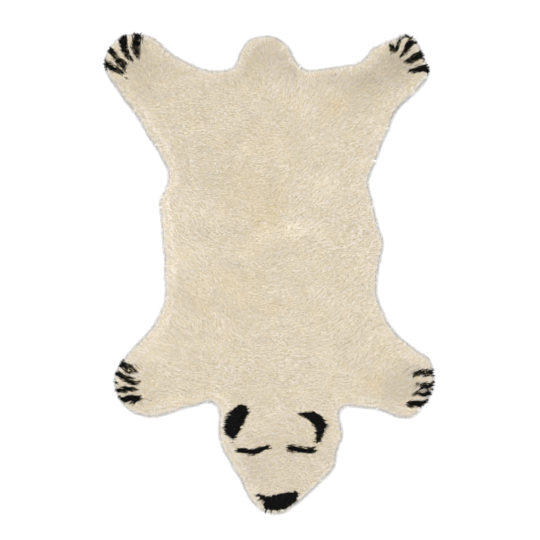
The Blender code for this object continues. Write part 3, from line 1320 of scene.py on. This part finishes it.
@dataclass
class Pile:
    """The free ends of the wool pile over the whole rug, sorted into pieces.

    What a lock has, all ends in it share, and what is own belongs to one end. A drift changes slowly
    over the rug. Numbers that aren't lengths are shares, spreads or tones.
    """

    shape: RugShape
    comb: CombField
    marks: MarkField
    lower: LowerPile
    spacing: float = 3.87 * MM
    jitter: float = 0.34
    edge_clearance: float = 10 * MM
    width: float = 2.4 * MM
    own_width: tuple[float, float] = (0.8, 1.15)
    lean: float = 22 * MM
    least_lean: float = 0.75
    own_lean: tuple[float, float] = (0.8, 1.2)
    least_rise: float = 1.5 * MM
    knee_along: float = 0.28
    knee_share: float = 1.15
    bow: float = 0.07
    lock_spacing: float = 7.5 * MM
    lock_jitter: float = 0.4
    lock_clearance: float = 2 * MM
    lock_turn_deg: float = 4.0
    lock_lean_spread: float = 0.1
    lock_lean_limits: tuple[float, float] = (0.5, 1.5)
    lock_depth_spread: float = 0.1
    own_turn_deg: float = 4.0
    stray: float = 0.05
    outward_share: float = 2.0
    claw_reach: tuple[float, float] = (-16 * MM, -5 * MM)
    turn_drifts: tuple[Drift, ...] = (
        Drift(math.radians(20), 70 * MM, 20.0),
        Drift(math.radians(18), 24 * MM, 18.0),
    )
    feel: float = 1.5 * MM
    gather: float = 3.5 * MM
    furrow_from: float = 0.3
    furrow_to: float = 1.8
    # The furrow colour values paint shade: ends in the furrows are darker and more golden.
    furrow_shade: float = 0.25
    furrow_gold: float = 0.08
    furrow_drop: float = 1.1 * MM
    edge_from: float = 46 * MM
    edge_to: float = 12 * MM
    overshoot: float = 2.5 * MM
    own_overshoot: float = 0.4
    search_beyond: float = 3.0
    dip: float = 0.6 * MM
    lock_dip_share: float = 0.3
    own_dip_share: float = 0.5
    rooted_in: float = 2.0 * MM
    seen_at: float = 0.6
    light_drifts: tuple[Drift, ...] = (Drift(0.6, 55 * MM, 11.3), Drift(0.5, 24 * MM, 13.9))
    warm_drifts: tuple[Drift, ...] = (Drift(0.25, 70 * MM, 21.5), Drift(0.2, 28 * MM, 27.2))
    own_depth: float = 0.8
    depth_shade: float = 0.06
    depth_gold: float = 0.06
    gold: float = 0.02
    edge_grey: float = 0.8
    grey_over: tuple[float, float] = (4 * MM, 26 * MM)
    # Painted light on the fringe ends, against the shade that they lie in near the floor.
    fringe_light: float = 3.5
    fringe_light_over: tuple[float, float] = (-1 * MM, 8 * MM)
    fringe_spacing: float = 3.6 * MM
    fringe_jitter: float = 0.4
    fringe_turn_share: float = 0.8
    fringe_overshoot: float = 0.5
    tries: int = 2
    fringe_reach: tuple[float, float] = (0.85, 1.0)
    fringe_rows: tuple[FringeRow, ...] = (
        FringeRow(8.5 * MM, 2.5 * MM, (2.5 * MM, 8 * MM)),
        FringeRow(10.5 * MM, 5.0 * MM, (5 * MM, 13 * MM)),
        FringeRow(12 * MM, 7.0 * MM, (9 * MM, 19 * MM)),
    )
    mark_seen_at: float = 0.65
    mark_growth: float = 1.2 * MM
    mark_bite: float = -0.45
    mark_spikes: float = 4.3 * MM
    mark_stray: float = 0.8 * MM

    def __post_init__(self) -> None:
        """Starts the pile's own random numbers and lays out its locks."""
        self.rng = np.random.default_rng(SEED)
        centres = net_points(self.shape.low, self.shape.high, self.lock_spacing, self.lock_jitter, self.rng)
        distance, _ = self.shape.edge(centres)
        locks = centres[distance > self.lock_clearance]
        count = len(locks)
        self.finder = KDTree(count)
        for i, (x, y) in enumerate(locks):
            self.finder.insert((x, y, 0), i)
        self.finder.balance()
        self.furrows = Furrows(self.shape.low, self.shape.high, self._heading, self.rng)
        self.lock_turn = self.rng.normal(0, math.radians(self.lock_turn_deg), count)
        self.lock_reach = np.clip(self.rng.normal(1.0, self.lock_lean_spread, count), *self.lock_lean_limits)
        self.lock_dip = self.rng.uniform(0, 1, count)
        self.lock_depth = self.rng.normal(0, self.lock_depth_spread, count)
        self.lock_over = self.rng.normal(0, 1.0, count)

    def _heading(self, points: Array) -> Array:
        """The laid direction at plane points, with the waves that wool has."""
        return turned(self.comb.line(points), sum(drift.at(points) for drift in self.turn_drifts))

    def _gathered(self, tips: Array) -> Array:
        """Moves tips out of the furrows, towards the middle of their locks.

        Args:
            tips: Rows of x and y.

        Returns:
            The moved rows.
        """
        sides = self.feel * np.eye(2)
        slope = np.stack([self.furrows.at(tips + s) - self.furrows.at(tips - s) for s in sides], axis=1)
        return tips + self.gather * slope / (1 + np.linalg.norm(slope, axis=1, keepdims=True))

    def _furrow(self, points: Array) -> Array:
        """How deep in a furrow each plane point is, from 0 to 1."""
        return smooth_step(-self.furrows.at(points), self.furrow_from, self.furrow_to)

    def _lean(self, points: Array, side: Array, turn: Array, reach: Array) -> Array:
        """How far the tips lie from their roots, seen from above.

        Args:
            points: The tips, as rows of x and y.
            side: From -1 to 1: below 0 for tips that fall the other way, and the nearer it is to 0,
                the sooner a tip that would point inwards near the rug's edge points outwards.
            turn: How far each is turned from the laid line, in radians.
            reach: The length of each lean, as a share of the usual one.

        Returns:
            Rows of x and y.
        """
        heading = self._heading(points) * np.sign(side)[:, None]
        distance, outward = self.shape.edge(points)
        out = 1 - smooth_step(distance, self.edge_to, self.edge_from)
        inwards = (heading * outward).sum(axis=1) < 0
        turned_out = np.abs(side) < self.outward_share * np.maximum(out, self._at_claws(points))
        heading[inwards & turned_out] *= -1
        heading = heading * (1 - out)[:, None] + outward * out[:, None]
        strength = np.clip(np.linalg.norm(heading, axis=1), self.least_lean, 1.0)
        return turned(unit(heading), turn) * (strength * reach * self.lean)[:, None]

    def _at_claws(self, points: Array) -> Array:
        """Finds the claws, which are narrow and keep clear edges because all their ends point outwards.

        Args:
            points: Rows of x and y.

        Returns:
            From 0 away from the claws to 1 at them.
        """
        depth, place = self.marks.depth(points)
        is_claw = np.array(["claws" in each.value for each in Place])[place]
        return is_claw * smooth_step(depth, *self.claw_reach)

    def _nearest_lock(self, points: Array) -> Array:
        """The number of the lock that each plane point belongs to."""
        return np.array([self.finder.find((x, y, 0))[1] for x, y in points])

    def _own_turn(self, lock_turn: Array) -> Array:
        """The turn of each lock's ends with a small turn of their own, in radians."""
        return lock_turn + self.rng.normal(0, math.radians(self.own_turn_deg), len(lock_turn))

    def _held_in(self, roots: Array, leans: Array, over: Array) -> Array:
        """Shortens leans so that no tip passes the outline by more than its share.

        Args:
            roots: Rows of x and y.
            leans: From the roots to the tips.
            over: How far each tip may pass the outline, below 0 if it has to stay inside.

        Returns:
            The shortened leans.
        """
        for _ in range(self.tries):
            distance, outward = self.shape.edge(roots + leans)
            excess = np.clip(-distance - over, 0, None)
            leans = leans - outward * excess[:, None]
        return leans

    def _finished(
        self, roots: Array, leans: Array, lock: Array, root_level: Array, tip_level: Array
    ) -> Strands:
        """Completes strands whose roots and tips are settled.

        Args:
            roots: Rows of x and y.
            leans: From the roots to the tips, seen from above.
            lock: The number of each strand's lock.
            root_level: The height of each root.
            tip_level: The height of each tip.

        Returns:
            The strands.
        """
        count = len(roots)
        rise = np.maximum(tip_level - root_level, self.least_rise)
        bow = turned(leans, math.pi / 2) * self.rng.normal(0, self.bow, count)[:, None]
        seen = roots + self.seen_at * leans
        light, warm = patch_tones(seen)
        light += sum(drift.at(seen) for drift in self.light_drifts)
        warm += sum(drift.at(seen) for drift in self.warm_drifts)
        depth = self.lock_depth[lock] + self.rng.normal(0, self.own_depth, count)
        furrow = self._furrow(seen)
        # The furrow terms are painted shade: ends in the furrows are darker and more golden.
        light -= self.depth_shade * depth + self.furrow_shade * furrow
        warm += self.depth_gold * depth + self.furrow_gold * furrow + self.gold
        distance, _ = self.shape.edge(seen)
        # Painted light on the fringe ends near the outline, against their shade.
        light += self.fringe_light * (1 - smooth_step(distance, *self.fringe_light_over))
        grey = self.edge_grey * (1 - smooth_step(distance, *self.grey_over))
        return Strands(
            root=np.column_stack((roots, root_level)),
            knee=np.column_stack((self.knee_along * leans + bow, rise * self.knee_share)),
            tip=np.column_stack((leans, rise)),
            width=self.width * self.rng.uniform(*self.own_width, count),
            light=light,
            warm=np.clip(warm, 0, 1),
            grey=np.clip(grey, 0, 1),
        )

    def _upper(self) -> Strands:
        """Lays the strands that stand all over the lower pile, from their tips back to their roots.

        Returns:
            The strands.
        """
        beyond = self.search_beyond * self.overshoot
        low, high = self.shape.low - beyond, self.shape.high + beyond
        tips = net_points(low, high, self.spacing, self.jitter, self.rng)
        distance, _ = self.shape.edge(tips)
        near = distance > -beyond
        tips, distance = tips[near], distance[near]
        lock = self._nearest_lock(tips)
        over = self.overshoot * (self.furrows.at(tips) + self.rng.normal(0, self.own_overshoot, len(tips)))
        inside = distance > -over
        tips, lock = self._gathered(tips[inside]), lock[inside]
        count = len(tips)
        turn = self._own_turn(self.lock_turn[lock])
        reach = self.lock_reach[lock] * self.rng.uniform(*self.own_lean, count)
        roots = tips - self._lean(tips, self.rng.uniform(-self.stray, 1, count), turn, reach)
        distance, outward = self.shape.edge(roots)
        roots -= outward * np.clip(self.edge_clearance - distance, 0, None)[:, None]
        root_level = self.lower.level(roots) - self.rooted_in
        own_dip = self.own_dip_share * self.rng.uniform(0, 1, count)
        drop = self.dip * (self.lock_dip_share * self.lock_dip[lock] + own_dip)
        drop += self.furrow_drop * self._furrow(tips)
        return self._finished(roots, tips - roots, lock, root_level, self.shape.top(tips) - drop)

    def _fringe(self, row: FringeRow) -> Strands:
        """Lays one row of strands round the edge, which lean out over the floor.

        Args:
            row: Where the row is.

        Returns:
            The strands.
        """
        ring = self.shape.inset(row.inset)
        after = np.roll(ring, -1, axis=0)
        lengths = np.linalg.norm(after - ring, axis=1)
        starts = np.concatenate(((0.0,), np.cumsum(lengths)))
        count = int(starts[-1] / self.fringe_spacing)
        steps = np.arange(count) + self.rng.uniform(-self.fringe_jitter, self.fringe_jitter, count)
        at = steps % count * starts[-1] / count
        piece = np.clip(np.searchsorted(starts, at, side="right") - 1, 0, len(ring) - 1)
        share = ((at - starts[piece]) / lengths[piece])[:, None]
        roots = ring[piece] * (1 - share) + after[piece] * share
        _, outward = self.shape.edge(roots)
        lock = self._nearest_lock(roots)
        turn = self._own_turn(self.fringe_turn_share * self.lock_turn[lock])
        over = self.overshoot * (self.lock_over[lock] + self.rng.normal(0, self.fringe_overshoot, count))
        reach = (row.inset + over) * self.rng.uniform(*self.fringe_reach, count)
        leans = self._held_in(roots, turned(outward, turn) * reach[:, None], over)
        tip_level = self.rng.uniform(*row.tip_levels, count)
        return self._finished(roots, leans, lock, np.full(count, row.root_level), tip_level)

    def pieces(self) -> list[tuple[str, Yarn, Strands]]:
        """All strands, sorted by yarn and place.

        Returns:
            The name, the yarn and the strands of each piece.
        """
        rows = [self._fringe(row) for row in self.fringe_rows]
        strands = Strands.joined([self._upper(), *rows])
        seen = strands.root[:, :2] + self.mark_seen_at * strands.tip[:, :2]
        depth, place = self.marks.depth(seen)
        spikes = np.maximum(self.furrows.at(seen), self.mark_bite)
        ragged = self.mark_spikes * spikes + self.rng.normal(0, self.mark_stray, len(seen))
        black = depth + self.mark_growth + ragged > 0
        made = []
        for number, each in enumerate(Place):
            made.append((each.value, Yarn.BLACK, strands.chosen(black & (place == number))))
        y = strands.root[:, 1] / MM
        tops = [band.from_y for band in BANDS[1:]] + [math.inf]
        for band, top in zip(BANDS, tops):
            inside = ~black & (y >= band.from_y) & (y < top)
            made.append((band.name, Yarn.CREAM, strands.chosen(inside)))
        return made


@dataclass(frozen=True)
class Studio:
    """The white floor, the soft light and the camera straight above."""

    picture_width: float = 1.785
    lens_mm: float = 100.0
    sensor_mm: float = 36.0
    camera_x: float = 1.65 * MM
    camera_y: float = 13.2 * MM
    floor_side: float = 12.0
    floor_gap: float = 0.3 * MM
    floor_colour: Colour = (0.96, 0.97, 0.99)
    sky: float = 1.385
    sky_colour: Colour = (1.0, 1.0, 1.0)
    sun: float = 0.5
    sun_colour: Colour = (1.0, 1.0, 1.0)
    sun_angle_deg: float = 32.0
    sun_height_deg: float = 62.0
    sun_from_deg: float = 128.0

    def build(self, edge_level: float) -> None:
        """Sets up everything that isn't the rug.

        Args:
            edge_level: The height at which the picture's width is measured.
        """
        self._floor()
        self._light()
        self._camera(edge_level)
        bpy.context.scene.view_settings.view_transform = "Standard"

    def _floor(self) -> None:
        """A wide pale floor just under the rug."""
        mesh = bmesh.new()
        bmesh.ops.create_grid(mesh, x_segments=1, y_segments=1, size=self.floor_side / 2)
        bmesh.ops.translate(mesh, verts=mesh.verts, vec=(0, 0, -self.floor_gap))
        data = bpy.data.meshes.new("floor")
        mesh.to_mesh(data)
        mesh.free()
        paint = bpy.data.materials.new("pale floor")
        paint.use_nodes = True
        surface = paint.node_tree.nodes["Principled BSDF"].inputs
        surface["Base Color"].default_value = (*self.floor_colour, 1)
        surface["Roughness"].default_value = 1.0
        surface["Specular IOR Level"].default_value = 0.0
        data.materials.append(paint)
        new_object("floor", data)

    def _light(self) -> None:
        """A wide soft light from above the left hind paw, and an even sky."""
        lamp = bpy.data.lights.new("window", "SUN")
        lamp.energy = self.sun
        lamp.color = self.sun_colour
        lamp.angle = math.radians(self.sun_angle_deg)
        obj = bpy.data.objects.new("window", lamp)
        tilt = math.radians(90 - self.sun_height_deg)
        turn = math.radians(self.sun_from_deg + 90)
        obj.rotation_euler = (tilt, 0, turn)
        bpy.context.scene.collection.objects.link(obj)
        sky = bpy.data.worlds.new("studio")
        sky.use_nodes = True
        background = sky.node_tree.nodes["Background"].inputs
        background["Color"].default_value = (*self.sky_colour, 1)
        background["Strength"].default_value = self.sky
        bpy.context.scene.world = sky

    def _camera(self, edge_level: float) -> None:
        """A long lens that looks straight down.

        Args:
            edge_level: The height at which the picture's width is measured.
        """
        lens = bpy.data.cameras.new("camera")
        lens.lens = self.lens_mm
        lens.sensor_width = self.sensor_mm
        obj = bpy.data.objects.new("camera", lens)
        distance = self.picture_width * self.lens_mm / self.sensor_mm
        obj.location = (self.camera_x, self.camera_y, edge_level + distance)
        bpy.context.scene.collection.objects.link(obj)
        bpy.context.scene.camera = obj


def fit_to_frame(piece: bpy.types.Object) -> None:
    """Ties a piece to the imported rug.

    Args:
        piece: A finished piece.
    """
    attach(piece, BODY)
    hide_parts(RUG_NODE)
    report(piece)


def main() -> None:
    """Builds the studio, the ground cloth, the lower pile and the free ends, in that order."""
    logging.basicConfig(level=logging.INFO, format="%(name)s: %(message)s")
    shape = RugShape(frame["nodes"][RUG_NODE])
    Studio().build(shape.edge_level)
    wool = {yarn: finish.material() for yarn, finish in FINISHES.items()}
    cloth = GroundCloth(shape)
    cloth_piece = cloth.build()
    fit_to_frame(cloth_piece)
    marks = MarkField(MARKS)
    lower = LowerPile(shape, marks)
    lower_piece = lower.build(wool[Yarn.CREAM])
    fit_to_frame(lower_piece)
    pile = Pile(shape, CombField(COMBED), marks, lower)
    tree = StrandTree()
    for name, yarn, strands in pile.pieces():
        piece = tree.grow(name, strands, wool[yarn])
        fit_to_frame(piece)
    cloth.flat_size()
    cloth.flat_area()


if __name__ == "__main__":
    main()
